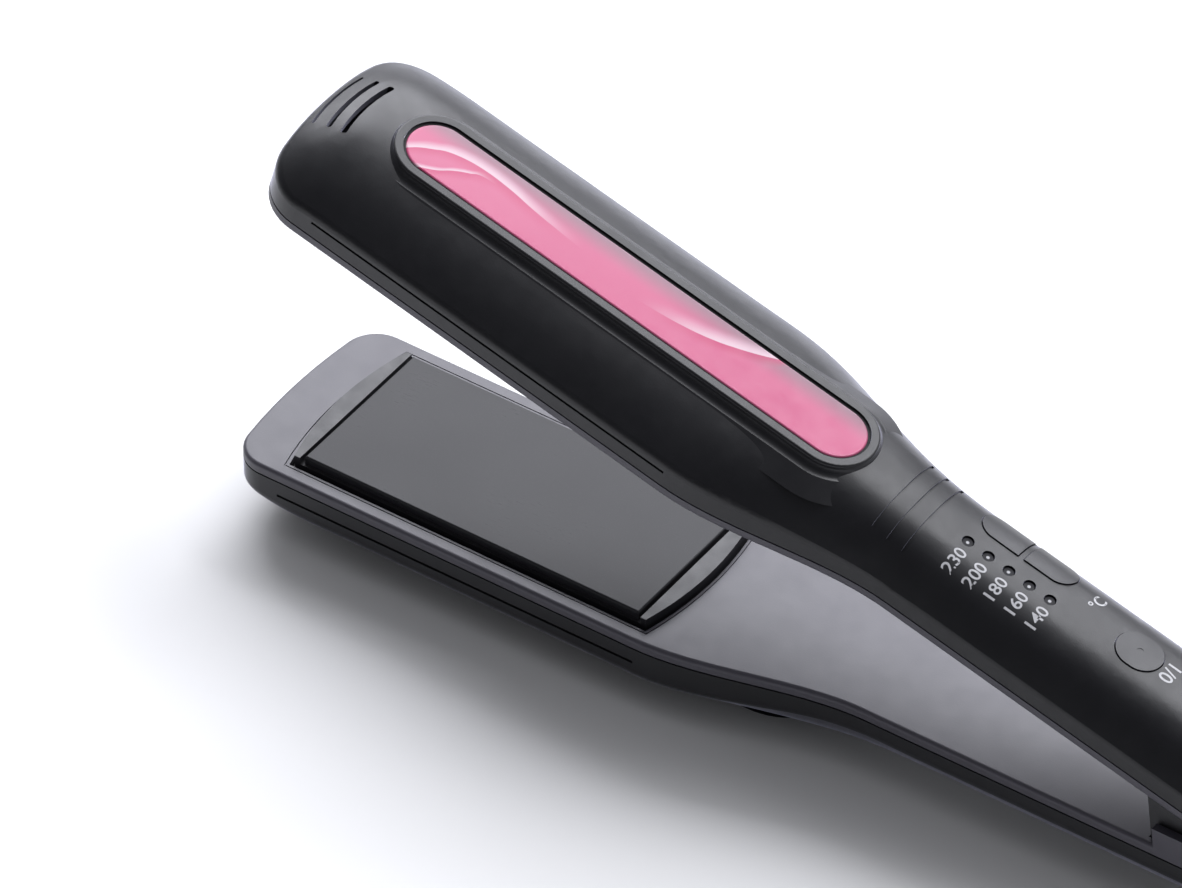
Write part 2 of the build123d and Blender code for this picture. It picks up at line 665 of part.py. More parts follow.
def element_clamp():
    """Spring strip that spans the rails and presses the element on the plate."""
    low = PLATE_BACK + ELEMENT[2]
    rail_top = PLATE_BACK + RAIL_HEIGHT
    length = ELEMENT[0] - 2 * CLAMP_INSET
    width = ELEMENT[1] + 2 * (ELEMENT_SLACK + RAIL_WIDTH)
    strip = clamp_block(0.0, (length, width), (rail_top, rail_top + CLAMP_THICKNESS))
    for share in CLAMP_PAD_PLACES:
        strip = strip + clamp_block(share, CLAMP_PAD, (low, rail_top))
    for share in CLAMP_WINDOW_PLACES:
        strip = strip - clamp_block(share, CLAMP_WINDOW, (0, SKY))
    return strip


def float_cushions():
    low = CARRIER_BACK
    return [rod(CUSHION_RADIUS, low, low + CUSHION_HEIGHT, x, y) for x, y in cushion_places()]


def sensor_bead():
    """Bead on the element in a window of the clamp: the sensor above, the thermal fuse below."""
    x = PLATE_MID + CLAMP_WINDOW_PLACES[-1] * (ELEMENT[0] / 2 - CLAMP_INSET)
    return Pos(x, 0, PLATE_BACK + ELEMENT[2] + BEAD_R) * Rot(0, 90, 0) * Cylinder(BEAD_R, BEAD_LENGTH)


def wires(points_of_side, radius, bends):
    """A pair of mirrored round wires along filleted runs."""
    pair = []
    for side in (1, -1):
        path = FilletPolyline(*points_of_side(side), radius=list(bends))
        pair.append(sweep(Plane(path @ 0, z_dir=path % 0) * Circle(radius), path=path))
    return pair


def heater_leads(end_x):
    """Two sleeved wires that rise from the element's rear end and run to the handle."""
    start_x = PLATE_REAR - CARRIER_LEDGE - LEAD_START_INSET
    low = PLATE_BACK + ELEMENT[2]

    def route(side):
        y = side * HEATER_LEAD_Y
        return [(start_x, y, low), (start_x, y, HEATER_LEAD_HIGH),
                (WAIST_START + 16.0, side * HEATER_LEAD_WIDE_Y, HEATER_LEAD_HIGH),
                (WAIST_END - 22.0, y, HEATER_LEAD_MID), (WAIST_END - 8.0, y, HEATER_LEAD_LOW),
                (end_x, y, HEATER_LEAD_LOW)]

    return wires(route, WIRE_R, HEATER_LEAD_BENDS)


# --- Controls ---
def light_places():
    return [LIGHT_FRONT_X + step * LIGHT_PITCH for step in range(LIGHT_COUNT)]


def temperature_face(index, grow=0.0):
    """Half stadium: round at its free end, square where the two buttons meet."""
    radius = TEMP_WIDTH / 2.0
    length = 2 * TEMP_LENGTH + TEMP_GAP
    both = Pos(TEMP_FRONT_X + length / 2, TEMP_Y) * SlotOverall(length + 2 * grow, 2 * (radius + grow))
    low = TEMP_FRONT_X + index * (TEMP_LENGTH + TEMP_GAP)
    window_low = low - grow
    window_high = low + TEMP_LENGTH + grow
    window = Pos((window_low + window_high) / 2, TEMP_Y) * Rectangle(window_high - window_low, 4 * radius)
    return both & window


def power_face(grow=0.0):
    return Pos(POWER_X, POWER_Y) * SlotOverall(POWER_LENGTH + 2 * grow, POWER_WIDTH + 2 * grow)


def control_cuts():
    cuts = [rod(LIGHT_HOLE_R, RIM_Z, SKY, x, LIGHT_Y) for x in light_places()]
    faces = [temperature_face(0, BUTTON_GAP), temperature_face(1, BUTTON_GAP), power_face(BUTTON_GAP)]
    return cuts + [prism(face, RIM_Z, SKY) for face in faces]


def button(face, flange_face, switch_x, switch_y):
    """Key cap that follows the roof, with a flange under the skin and a plunger."""
    cap = prism(face, RIM_Z, SKY) & roof_block(UPPER, -BUTTON_PROUD)
    cap = cap - roof_block(UPPER, BUTTON_DEPTH)
    flange = prism(flange_face, RIM_Z, SKY) & roof_block(UPPER, ROOF_WALL + MOVING_GAP)
    flange = flange - roof_block(UPPER, BUTTON_DEPTH)
    stem_top = BOARD_Z + BOARD[2] + SWITCH_HEIGHT + SWITCH_STEM
    plunger = rod(SWITCH_STEM_R, stem_top + BUTTON_TRAVEL + SWITCH_REST, HANDLE_CROWN - BUTTON_DEPTH, switch_x, switch_y)
    return cap + flange + plunger


def temperature_x(index):
    return TEMP_FRONT_X + TEMP_LENGTH / 2 + index * (TEMP_LENGTH + TEMP_GAP)


def switch_places():
    places = [(temperature_x(index), TEMP_Y - SWITCH_SHIFT) for index in (0, 1)]
    return places + [(POWER_X + POWER_SWITCH_SHIFT, POWER_Y)]


def temperature_button(index):
    x, y = switch_places()[index]
    flange = min(BUTTON_FLANGE, (TEMP_GAP - MOVING_GAP) / 2)
    return button(temperature_face(index), temperature_face(index, flange), x, y)


def power_button():
    x, y = switch_places()[2]
    cap = button(power_face(), power_face(BUTTON_FLANGE), x, y)
    return cap - rod(POWER_LENS_R, RIM_Z, SKY, POWER_X, POWER_Y)


def power_lens():
    lens = rod(POWER_LENS_R, RIM_Z, SKY, POWER_X, POWER_Y) & roof_block(UPPER, LENS_SET - BUTTON_PROUD)
    return lens - roof_block(UPPER, BUTTON_DEPTH)


def control_board():
    length, width, thickness = BOARD
    x_range = (BOARD_FRONT_X, BOARD_FRONT_X + length)
    board = block(x_range, (-width / 2, width / 2), (BOARD_Z, BOARD_Z + thickness))
    for x, y in board_post_places():
        board = board - rod(SCREW_R + SCREW_HOLE_GAP, 0, SKY, x, y)
    return board


def tact_switches():
    low = BOARD_Z + BOARD[2]
    half = SWITCH_SIDE / 2
    switches = []
    for x, y in switch_places():
        body = block((x - half, x + half), (y - half, y + half), (low, low + SWITCH_HEIGHT))
        stem_low = low + SWITCH_HEIGHT
        switches.append(body + rod(SWITCH_STEM_R, stem_low, stem_low + SWITCH_STEM, x, y))
    return switches


def indicator_leds():
    low = BOARD_Z + BOARD[2]
    places = [(x, LIGHT_Y) for x in light_places()] + [(POWER_X - POWER_DIODE_SHIFT, POWER_Y)]
    half_x = DIODE[0] / 2
    half_y = DIODE[1] / 2
    high = low + DIODE[2]
    return [block((x - half_x, x + half_x), (y - half_y, y + half_y), (low, high)) for x, y in places]


def light_guide():
    """One clear moulding: a strip over the diodes with a post up each hole."""
    low = BOARD_Z + BOARD[2] + GUIDE_LIFT
    xs = light_places()
    reach, width, thickness = GUIDE_STRIP
    y_range = (LIGHT_Y - width / 2, LIGHT_Y + width / 2)
    strip = block((xs[0] - reach, xs[-1] + reach), y_range, (low, low + thickness))
    posts = [rod(LIGHT_GUIDE_R, low, SKY, x, LIGHT_Y) for x in xs]
    skin = roof_block(UPPER, LIGHT_RECESS)
    for post in posts:
        strip = strip + (post & skin)
    for x in (xs[0] + LIGHT_PITCH / 2, xs[-1] - LIGHT_PITCH / 2):
        strip = strip + rod(GUIDE_LEG_R, BOARD_Z + BOARD[2], low, x, LIGHT_Y)
    return strip


def board_components():
    """Parts on the board's underside: two capacitors, a triac and a choke."""
    centre = BOARD_FRONT_X + BOARD[0] / 2
    parts = [block((centre + front, centre + rear), (left, right), (BOARD_Z - drop, BOARD_Z))
             for front, rear, left, right, drop in BOARD_PARTS]
    x, y, radius, drop = CHOKE
    return parts + [rod(radius, BOARD_Z - drop, BOARD_Z, centre + x, y)]


def screw_drive(x, y, low):
    """Slot for the driver."""
    length, width, depth = DRIVE
    return block((x - length / 2, x + length / 2), (y - width / 2, y + width / 2), (low, low + depth))


def screw(top_z, x, y, up):
    """Pan-head screw; the shank runs up or down from the head's bearing face."""
    if up:
        head = rod(SCREW_HEAD_R, top_z - SCREW_HEAD, top_z, x, y)
        drive = screw_drive(x, y, top_z - SCREW_HEAD)
        shank = rod(SCREW_R, top_z, top_z + SCREW_LENGTH - SCREW_END_GAP, x, y)
    else:
        head = rod(SCREW_HEAD_R, top_z, top_z + SCREW_HEAD, x, y)
        drive = screw_drive(x, y, top_z + SCREW_HEAD - DRIVE[2])
        shank = rod(SCREW_R, top_z - SCREW_LENGTH + SCREW_END_GAP, top_z, x, y)
    return head - drive + shank


def board_screws():
    return [screw(BOARD_Z, x, y, True) for x, y in board_post_places()]


def shell_screws():
    low = RIM_TOP - PANEL_THICKNESS - PANEL_SET - SCREW_HEAD
    return [screw(low, x, 0.0, False) for x in SHELL_SCREW_X]


# --- Hinge ---
def knuckle_screw_places():
    inset, y = KNUCKLE_SCREW
    return [(KNUCKLE_FRONT + inset, side * y) for side in (1, -1)]


def bracket_screw_places():
    front, rear = BRACKET_SCREW_INSET
    return [(x, side * BRACKET_SCREW_Y) for x in (EAR_FRONT + front, BRACKET_REAR - rear) for side in (1, -1)]


def hinge_knuckle():
    """Upper arm's knuckle: two lugs round the pin under one base."""
    half = KNUCKLE_WIDTH / 2
    base_top = KNUCKLE_BASE_Z + KNUCKLE_BASE
    body = bar(KNUCKLE_R, -half, half)
    web = [(WEB_INSET - KNUCKLE_R, WEB_LOW), (KNUCKLE_R - WEB_INSET, WEB_LOW),
           (KNUCKLE_R - WEB_REAR_TAPER, base_top), (-KNUCKLE_R - WEB_FRONT_SPREAD, base_top)]
    body = body + side_profile(web, -half, half)
    body = body + block((KNUCKLE_FRONT, 0), (-half, half), (KNUCKLE_BASE_Z, base_top))
    slot = SPRING_SLOT / 2
    body = body - block((-SKY, SKY), (-slot, slot), (-SKY, KNUCKLE_BASE_Z))
    body = body - bar(BUSH_R + FIT_GAP, -SKY, SKY)
    for x, y in knuckle_screw_places():
        body = body - rod(SCREW_R + SCREW_HOLE_GAP, 0, SKY, x, y)
    return body


def hinge_bushes():
    bushes = []
    for side in (1, -1):
        low, high = sorted((side * SPRING_SLOT / 2, side * KNUCKLE_WIDTH / 2))
        bushes.append(bar(BUSH_R, low, high) - bar(PIN_R + PIN_CLEARANCE, low - 1, high + 1))
    return bushes


def knuckle_screws():
    return [screw(KNUCKLE_BASE_Z, x, y, True) for x, y in knuckle_screw_places()]


def hinge_pin():
    length = EAR_OUTER
    pin = bar(PIN_R, -length, length)
    return chamfer(pin.edges().filter_by(GeomType.CIRCLE), PIN_CHAMFER)


def bracket_ear(side):
    """Ear in the lower arm's frame: disc round the pin and a fin that leans forward."""
    low, high = sorted((side * EAR_INNER, side * EAR_OUTER))
    base = BRACKET_BASE_Z + BRACKET_BASE
    fin = [(EAR_FRONT, base), (EAR_FRONT, FACE_OFFSET), (EAR_FRONT - EAR_LEAN, -EAR_TOP),
           (EAR_FRONT + EAR_FIN, -EAR_TOP), (0, -EAR_R), (BRACKET_REAR, 0), (BRACKET_REAR, base)]
    ear = side_profile(fin, low, high) + bar(EAR_R, low, high)
    return ear - bar(PIN_R + FIT_GAP, -SKY, SKY)


def hinge_bracket():
    """Lower arm's bracket: base plate with two ears."""
    base = BRACKET_BASE_Z + BRACKET_BASE
    body = block((EAR_FRONT, BRACKET_REAR), (-EAR_OUTER, EAR_OUTER), (BRACKET_BASE_Z, base))
    body = body + bracket_ear(1) + bracket_ear(-1)
    notch = LEAD_NOTCH[1] / 2
    body = body - block((BRACKET_REAR - LEAD_NOTCH[0], SKY), (-notch, notch), (BRACKET_BASE_Z - 1, SKY))
    for x, y in bracket_screw_places():
        body = body - rod(SCREW_R + SCREW_HOLE_GAP, 0, SKY, x, y)
    return body


def bracket_screws():
    return [screw(BRACKET_BASE_Z, x, y, True) for x, y in bracket_screw_places()]


def torsion_spring():
    """Coil round the pin, with one leg under the knuckle's base and one on the bracket's."""
    upper_turn = OPEN_ANGLE + SPRING_UPPER_TILT
    turns = SPRING_TURNS + (180.0 - upper_turn - SPRING_LOWER_TILT) / 360.0
    length = turns * SPRING_PITCH
    helix = Pos(0, -length / 2, 0) * Helix(SPRING_PITCH, length, SPRING_R, direction=(0, 1, 0))
    heading = helix % 0
    path = Rot(0, upper_turn + math.degrees(math.atan2(heading.Z, heading.X)), 0) * helix
    spring = sweep(Plane(path @ 0, z_dir=path % 0) * Circle(SPRING_WIRE_R), path=path)
    for place, sign in ((0, -1.0), (1, 1.0)):
        start = path @ place
        leg = Line(start, start + (path % place) * (sign * SPRING_LEG))
        spring = spring + sweep(Plane(leg @ 0, z_dir=leg % 0) * Circle(SPRING_WIRE_R), path=leg)
    return spring


# --- Cord entry ---
def swivel_gland():
    """Gland that turns in the lower arm's rear wall; the cord passes through its bore."""
    wall_in = LOWER_REAR - WALL
    flange_rear = wall_in - GLAND_AXIAL_GAP
    flange_front = flange_rear - GLAND_FLANGE
    collar_front = LOWER_REAR + GLAND_AXIAL_GAP
    collar_rear = collar_front + GLAND_COLLAR
    body = axle(GLAND_R, flange_front, collar_front, GLAND_Z)
    body = body + axle(GLAND_COLLAR_R, collar_front, collar_rear, GLAND_Z)
    nose = Cone(GLAND_NOSE_ROOT_R, GLAND_NOSE_R, GLAND_NOSE)
    nose = Pos(collar_rear + GLAND_NOSE / 2, 0, GLAND_Z) * Rot(0, 90, 0) * nose
    body = body + nose
    return body - axle(CORD_BORE_R, flange_front - 1, collar_rear + GLAND_NOSE + 1, GLAND_Z)


def swivel_clip():
    """Retaining ring pressed on the gland inside the rear wall."""
    rear = LOWER_REAR - WALL - GLAND_AXIAL_GAP
    front = rear - GLAND_FLANGE
    return axle(GLAND_FLANGE_R, front, rear, GLAND_Z) - axle(GLAND_R + FIT_GAP, front - 1, rear + 1, GLAND_Z)


def terminal_block():
    """Two-way block in the lower handle, in the lower frame."""
    top = FLOOR_Z + TERMINAL_HEIGHT
    half = TERMINAL_WIDTH / 2
    body = block((TERMINAL_REAR - TERMINAL_LENGTH, TERMINAL_REAR), (-half, half), (FLOOR_Z, top))
    middle = TERMINAL_REAR - TERMINAL_LENGTH / 2
    for side in (1, -1):
        body = body - rod(TERMINAL_WELL_R, top - TERMINAL_WELL, SKY, middle, side * SUPPLY_LEAD_Y[-1])
    return body


def supply_leads():
    """Two insulated conductors from the gland to the terminal block, in the lower frame."""
    start_x = LOWER_REAR - WALL - GLAND_AXIAL_GAP - GLAND_FLANGE - LEAD_GAP
    near, middle, far = SUPPLY_LEAD_Y
    entry = FLOOR_Z + TERMINAL_HEIGHT / 2 + MOVING_GAP

    def route(side):
        return [(start_x, side * near, -GLAND_Z), (start_x - 2.6, side * near, -GLAND_Z + 0.4),
                (start_x - 9.0, side * near, SUPPLY_LEAD_DEEP), (EAR_FRONT, side * middle, SUPPLY_LEAD_DEEP),
                (TERMINAL_REAR + 10.0, side * far, entry), (TERMINAL_REAR, side * far, entry)]

    return wires(route, SUPPLY_WIRE_R, SUPPLY_LEAD_BENDS)


# --- Row frame ---
def row_shift():
    """Moves the hinge frame so that the box's bottom centre is the origin."""
    return Pos((LOWER_REACH - GLAND_TIP) / 2, 0, RIM_TOP)


def as_upper(shape):
    return row_shift() * Rot(0, OPEN_ANGLE, 0) * shape


def as_lower(shape):
    return row_shift() * mirror(shape, about=Plane.XY)


def as_given(shape):
    return row_shift() * shape


def group(shapes):
    return Compound(children=[shape.solid() for shape in shapes])


def arm_nodes(arm, lead_end):
    """The pieces that both arms have."""
    return {
        f"{arm}_outer_shell": outer_shell(arm),
        f"{arm}_inner_shell": inner_shell(arm),
        f"{arm}_inlay_panel": inlay_panel(),
        f"{arm}_inlay_seal": inlay_seal(),
        f"{arm}_plate_carrier": plate_carrier(),
        f"{arm}_heater_plate": heater_plate(),
        f"{arm}_heating_element": heating_element(),
        f"{arm}_element_clamp": element_clamp(),
        f"{arm}_float_cushions": group(float_cushions()),
        f"{arm}_heater_leads": group(heater_leads(lead_end)),
        f"{arm}_shell_screws": group(shell_screws()),
    }


def upper_nodes():
    nodes = arm_nodes(UPPER, BOARD_FRONT_X + BOARD_LEAD_REACH)
    nodes["temperature_sensor"] = sensor_bead()
    nodes["control_board"] = control_board()
    nodes["board_components"] = group(board_components())
    nodes["board_screws"] = group(board_screws())
    nodes["tact_switches"] = group(tact_switches())
    nodes["indicator_leds"] = group(indicator_leds())
    nodes["light_guide"] = light_guide()
    nodes["temperature_up_button"] = temperature_button(0)
    nodes["temperature_down_button"] = temperature_button(1)
    nodes["power_button"] = power_button()
    nodes["power_lens"] = power_lens()
    nodes["hinge_knuckle"] = hinge_knuckle()
    nodes["hinge_bushes"] = group(hinge_bushes())
    nodes["knuckle_screws"] = group(knuckle_screws())
    return nodes


def lower_nodes():
    nodes = arm_nodes(LOWER, TERMINAL_REAR - TERMINAL_LENGTH)
    nodes["thermal_fuse"] = sensor_bead()
    nodes["hinge_bracket"] = hinge_bracket()
    nodes["bracket_screws"] = group(bracket_screws())
    nodes["hinge_pin"] = hinge_pin()
    nodes["terminal_block"] = terminal_block()
    nodes["supply_leads"] = group(supply_leads())
    return nodes


def hinge_frame_nodes():
    return {"torsion_spring": torsion_spring(), "swivel_gland": swivel_gland(), "swivel_clip": swivel_clip()}


def main():
    os.makedirs("parts", exist_ok=True)
    sets = ((as_upper, upper_nodes()), (as_lower, lower_nodes()), (as_given, hinge_frame_nodes()))
    for place, nodes in sets:
        for name, shape in nodes.items():
            export_step(place(shape), f"parts/{name}.step")


main()
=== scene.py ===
import math

import bpy
from mathutils import Matrix, Vector
from mathutils.bvhtree import BVHTree


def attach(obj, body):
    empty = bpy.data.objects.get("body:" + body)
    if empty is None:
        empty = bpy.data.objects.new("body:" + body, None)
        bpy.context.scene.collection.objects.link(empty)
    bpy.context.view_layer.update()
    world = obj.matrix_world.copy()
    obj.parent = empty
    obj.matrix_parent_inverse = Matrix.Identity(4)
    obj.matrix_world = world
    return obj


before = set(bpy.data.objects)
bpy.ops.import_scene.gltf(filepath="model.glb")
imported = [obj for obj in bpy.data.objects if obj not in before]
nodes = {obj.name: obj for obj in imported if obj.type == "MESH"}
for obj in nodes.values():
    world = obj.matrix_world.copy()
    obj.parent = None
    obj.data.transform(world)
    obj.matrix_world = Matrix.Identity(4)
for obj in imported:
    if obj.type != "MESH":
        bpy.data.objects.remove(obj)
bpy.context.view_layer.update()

# The hinge axis in the row frame, in metres, and the angle of the open upper arm.
HINGE = Vector((0.1294, 0.0, 0.0243))
OPEN = math.radians(15.4)
MM = 0.001

# The five lights and the print on the upper handle, in millimetres in that arm's own frame.
LIGHT_PITCH = 5.85
FIRST_LIGHT_X, LIGHT_Y = -99.6, -1.2
FIRST_NUMBER_X, NUMBER_Y = -98.9, -7.4
ABOVE_SHELL, PRINT_LIFT, PRINT_BOLD = 40.0, 0.03, 0.05

# The inlay's printed wave: the panel's ends and half width, and the half thickness of a wave's edge.
WAVE_START, WAVE_END, WAVE_HALF, EDGE = -263.0, -131.0, 12.0, 0.12


def arm_point(x, y, z):
    """A point of the upper arm, in millimetres from the hinge, as row-frame metres."""
    c, s = math.cos(OPEN), math.sin(OPEN)
    return HINGE + Vector((x * c + z * s, y, z * c - x * s)) * MM


# ---------------------------------------------------------------- node helpers
class Mat:
    """One procedural material: small helpers that add nodes and return sockets."""

    def __init__(self, name, place="row"):
        self.m = bpy.data.materials.new(name)
        self.m.use_nodes = True
        self.t = self.m.node_tree
        self.shader = self.t.nodes["Principled BSDF"]
        coords = self.t.nodes.new("ShaderNodeTexCoord").outputs["Object"]
        self.where = self.arm(coords, place)

    def arm(self, coords, place):
        """Coordinates in millimetres: row frame, or an arm's own frame with +Z out of its back."""
        if place == "row":
            return self.mapping(coords, (0, 0, 0), (0, 0, 0), (1000, 1000, 1000))
        if place == "lower":
            move = (-HINGE.x * 1000, 0, HINGE.z * 1000)
            return self.mapping(coords, move, (0, 0, 0), (1000, 1000, -1000))
        turn = Matrix.Rotation(-OPEN, 3, "Y")
        move = -(turn @ HINGE) * 1000
        return self.mapping(coords, tuple(move), (0, -OPEN, 0), (1000, 1000, 1000))

    def node(self, kind, **settings):
        n = self.t.nodes.new(kind)
        for key, value in settings.items():
            setattr(n, key, value)
        return n

    def link(self, value, socket):
        if isinstance(value, bpy.types.NodeSocket):
            self.t.links.new(value, socket)
        else:
            socket.default_value = value

    def mapping(self, vector, location, rotation, scale):
        n = self.node("ShaderNodeMapping")
        self.link(vector, n.inputs["Vector"])
        n.inputs["Location"].default_value = location
        n.inputs["Rotation"].default_value = rotation
        n.inputs["Scale"].default_value = scale
        return n.outputs["Vector"]

    def noise(self, scale, detail=2.0, rough=0.5, vector=None):
        n = self.node("ShaderNodeTexNoise")
        self.link(vector or self.where, n.inputs["Vector"])
        n.inputs["Scale"].default_value = scale
        n.inputs["Detail"].default_value = detail
        n.inputs["Roughness"].default_value = rough
        return n.outputs["Fac"]

    def cells(self, scale):
        n = self.node("ShaderNodeTexVoronoi")
        self.link(self.where, n.inputs["Vector"])
        n.inputs["Scale"].default_value = scale
        return n.outputs["Distance"]

    def axes(self):
        n = self.node("ShaderNodeSeparateXYZ")
        self.link(self.where, n.inputs[0])
        return n.outputs

    def math(self, operation, a, b=0.0, c=0.0):
        n = self.node("ShaderNodeMath", operation=operation)
        for value, socket in zip((a, b, c), n.inputs):
            self.link(value, socket)
        return n.outputs[0]

    def span(self, value, low, high, to_low=0.0, to_high=1.0, smooth=False):
        n = self.node("ShaderNodeMapRange")
        n.interpolation_type = "SMOOTHSTEP" if smooth else "LINEAR"
        self.link(value, n.inputs["Value"])
        n.inputs["From Min"].default_value = low
        n.inputs["From Max"].default_value = high
        n.inputs["To Min"].default_value = to_low
        n.inputs["To Max"].default_value = to_high
        return n.outputs["Result"]

    def curve(self, value, points):
        """A smooth curve through (0..1, 0..1) points."""
        n = self.node("ShaderNodeFloatCurve")
        line = n.mapping.curves[0]
        line.points[0].location = points[0]
        line.points[1].location = points[-1]
        for x, y in points[1:-1]:
            line.points.new(x, y)
        n.mapping.update()
        self.link(value, n.inputs["Value"])
        return n.outputs["Value"]

    def mix(self, share, a, b):
        n = self.node("ShaderNodeMix", data_type="RGBA")
        self.link(share, n.inputs["Factor"])
        for value, socket in ((a, n.inputs[6]), (b, n.inputs[7])):
            self.link(value if isinstance(value, bpy.types.NodeSocket) else (*value, 1.0), socket)
        return n.outputs[2]

    def bump(self, height, distance_mm):
        n = self.node("ShaderNodeBump")
        self.link(height, n.inputs["Height"])
        n.inputs["Distance"].default_value = distance_mm * MM
        self.link(n.outputs["Normal"], self.shader.inputs["Normal"])

    def set(self, **values):
        names = {"color": "Base Color", "rough": "Roughness", "metal": "Metallic", "coat": "Coat Weight",
                 "coat_rough": "Coat Roughness", "spec": "Specular IOR Level",
                 "sheen": "Sheen Weight", "sheen_rough": "Sheen Roughness",
                 "sheen_tint": "Sheen Tint"}
        for key, value in values.items():
            if isinstance(value, tuple):
                value = (*value, 1.0)
            self.link(value, self.shader.inputs[names[key]])
        return self.m


LILAC = (0.80, 0.80, 1.0)


def moulded(name, dark, light, rough=(0.36, 0.46), grain=3.2, grain_depth=0.012, spec=0.5, sheen=0.0):
    """Satin moulded plastic: fine spark-eroded grain, slow colour drift and handling marks."""
    m = Mat(name)
    drift = m.noise(0.045, 3.0)
    grain_noise = m.noise(grain, 2.0, 0.6)
    pits = m.cells(grain * 1.4)
    marks = m.noise(0.16, 4.0, 0.65)
    texture = m.math("ADD", m.math("MULTIPLY", grain_noise, 0.7), m.math("MULTIPLY", pits, 0.5))
    m.bump(texture, grain_depth)
    speck = m.span(grain_noise, 0.3, 0.7)
    color = m.mix(m.math("ADD", m.math("MULTIPLY", drift, 0.7), m.math("MULTIPLY", speck, 0.3)), dark, light)
    roughness = m.math("ADD", m.span(marks, 0.35, 0.65, rough[0], rough[1]), m.math("MULTIPLY", speck, 0.03))
    return m.set(color=color, rough=roughness, spec=spec, sheen=sheen, sheen_rough=0.25, sheen_tint=LILAC)


def inlay(place):
    """Gloss panel with a printed wave: folded bands that run from white through pale to deep pink."""
    m = Mat("inlay_" + place, place)
    x, y, z = m.axes()
    along = m.span(x, WAVE_START, WAVE_END)

    def height(points):
        """A wave line: y in mm over the panel, from (x, y) points in mm."""
        length, width = WAVE_END - WAVE_START, 2 * WAVE_HALF
        scaled = [((px - WAVE_START) / length, (py + WAVE_HALF) / width) for px, py in points]
        return m.math("MULTIPLY_ADD", m.curve(along, scaled), width, -WAVE_HALF)

    line_a = height([(-263, -8.0), (-260.5, -5.1), (-256.2, -1.2), (-249.3, 2.2), (-243.1, 3.0),
                     (-235.7, 2.7), (-228.2, 1.7), (-216, 0.6), (-190, -1.0), (-131, -2.0)])
    line_b = height([(-263, -11.5), (-252.0, -5.9), (-248.4, -2.6), (-245.2, -0.4), (-241.9, 1.2),
                     (-236, 1.2), (-228, 0.4), (-190, -1.0), (-131, -2.0)])
    line_c = height([(-263, -4.0), (-200, -2.6), (-187.9, -1.6), (-181.6, -0.6), (-175.5, 0.9), (-170.2, 2.9),
                     (-165.0, 5.3), (-160.3, 8.0), (-157, 10.5), (-131, 11.8)])
    above_a = m.math("SUBTRACT", y, line_a)
    above_b = m.math("SUBTRACT", y, line_b)
    above_c = m.math("SUBTRACT", y, line_c)
    edge_a = m.span(above_a, -EDGE, EDGE)
    edge_b = m.span(above_b, -EDGE, EDGE)
    edge_c = m.span(above_c, -EDGE, EDGE)
    fade_a = m.span(x, -212.0, -238.0, smooth=True)
    fade_b = m.span(x, -238.0, -246.0, smooth=True)
    fade_c = m.math("MULTIPLY", m.span(x, -196.0, -172.0, smooth=True), m.span(x, -156.0, -160.0))

    base = m.mix(m.noise(0.03, 2.0), (0.49, 0.105, 0.205), (0.53, 0.125, 0.23))
    # Painted shade: the colour fades to a dull grey-pink across the far side of the panel.
    painted_far_shade = m.span(y, 1.0, 8.2, smooth=True)
    base = m.mix(m.math("MULTIPLY", painted_far_shade, 0.85), base, (0.205, 0.155, 0.18))

    def fold(colour, above, edge, fade, reach, deep):
        """White just above a line, which fades to pink, and a deep shade just under it."""
        light = m.math("MULTIPLY", m.math("MULTIPLY", m.span(above, reach, 0.0, smooth=True), edge), fade)
        colour = m.mix(light, colour, (0.60, 0.44, 0.50))
        under = m.math("MULTIPLY", m.span(above, -3.6, 0.0, smooth=True), m.math("SUBTRACT", 1.0, edge))
        return m.mix(m.math("MULTIPLY", m.math("MULTIPLY", under, fade), 0.8), colour, deep)

    colour = fold(base, above_b, edge_b, fade_b, 1.6, (0.46, 0.050, 0.140))
    colour = fold(colour, above_a, edge_a, fade_a, 3.4, (0.46, 0.055, 0.145))
    colour = fold(colour, above_c, edge_c, fade_c, 4.6, (0.44, 0.045, 0.130))
    flake = m.math("LESS_THAN", m.cells(2.2), 0.10)
    colour = m.mix(m.math("MULTIPLY", flake, 0.04), colour, (0.60, 0.50, 0.54))
    m.bump(m.noise(0.12, 1.0), 0.01)
    smear = m.span(m.noise(0.2, 5.0, 0.7), 0.35, 0.7, 0.10, 0.19)
    return m.set(color=colour, rough=smear, coat=0.12, coat_rough=0.08, spec=0.25)


def plate():
    """Dark ceramic coating on aluminium, with a faint run of the coating along the plate."""
    m = Mat("plate_coating")
    stretched = m.mapping(m.where, (0, 0, 0), (0, 0, 0), (0.25, 3.0, 1.0))
    streak = m.noise(1.6, 3.0, 0.6, stretched)
    cloud = m.noise(0.05, 3.0)
    sparkle = m.math("LESS_THAN", m.cells(3.0), 0.13)
    colour = m.mix(cloud, (0.018, 0.018, 0.021), (0.026, 0.026, 0.029))
    colour = m.mix(m.math("MULTIPLY", sparkle, 0.25), colour, (0.16, 0.16, 0.17))
    m.bump(m.math("ADD", streak, m.math("MULTIPLY", m.noise(5.0, 1.0), 0.5)), 0.003)
    blend = m.math("ADD", m.math("MULTIPLY", streak, 0.5), m.math("MULTIPLY", cloud, 0.5))
    roughness = m.span(blend, 0.3, 0.7, 0.26, 0.36)
    return m.set(color=colour, rough=roughness, metal=0.0, spec=0.16)


def metal(name, colour, rough=0.3, brushed=(1.0, 6.0, 6.0)):
    m = Mat(name)
    stretched = m.mapping(m.where, (0, 0, 0), (0, 0, 0), brushed)
    streak = m.noise(1.4, 4.0, 0.65, stretched)
    spots = m.noise(0.4, 3.0)
    tint = tuple(c * 0.72 for c in colour)
    m.bump(streak, 0.004)
    shine = m.span(streak, 0.3, 0.7, rough - 0.07, rough + 0.1)
    return m.set(color=m.mix(spots, colour, tint), rough=shine, metal=1.0)


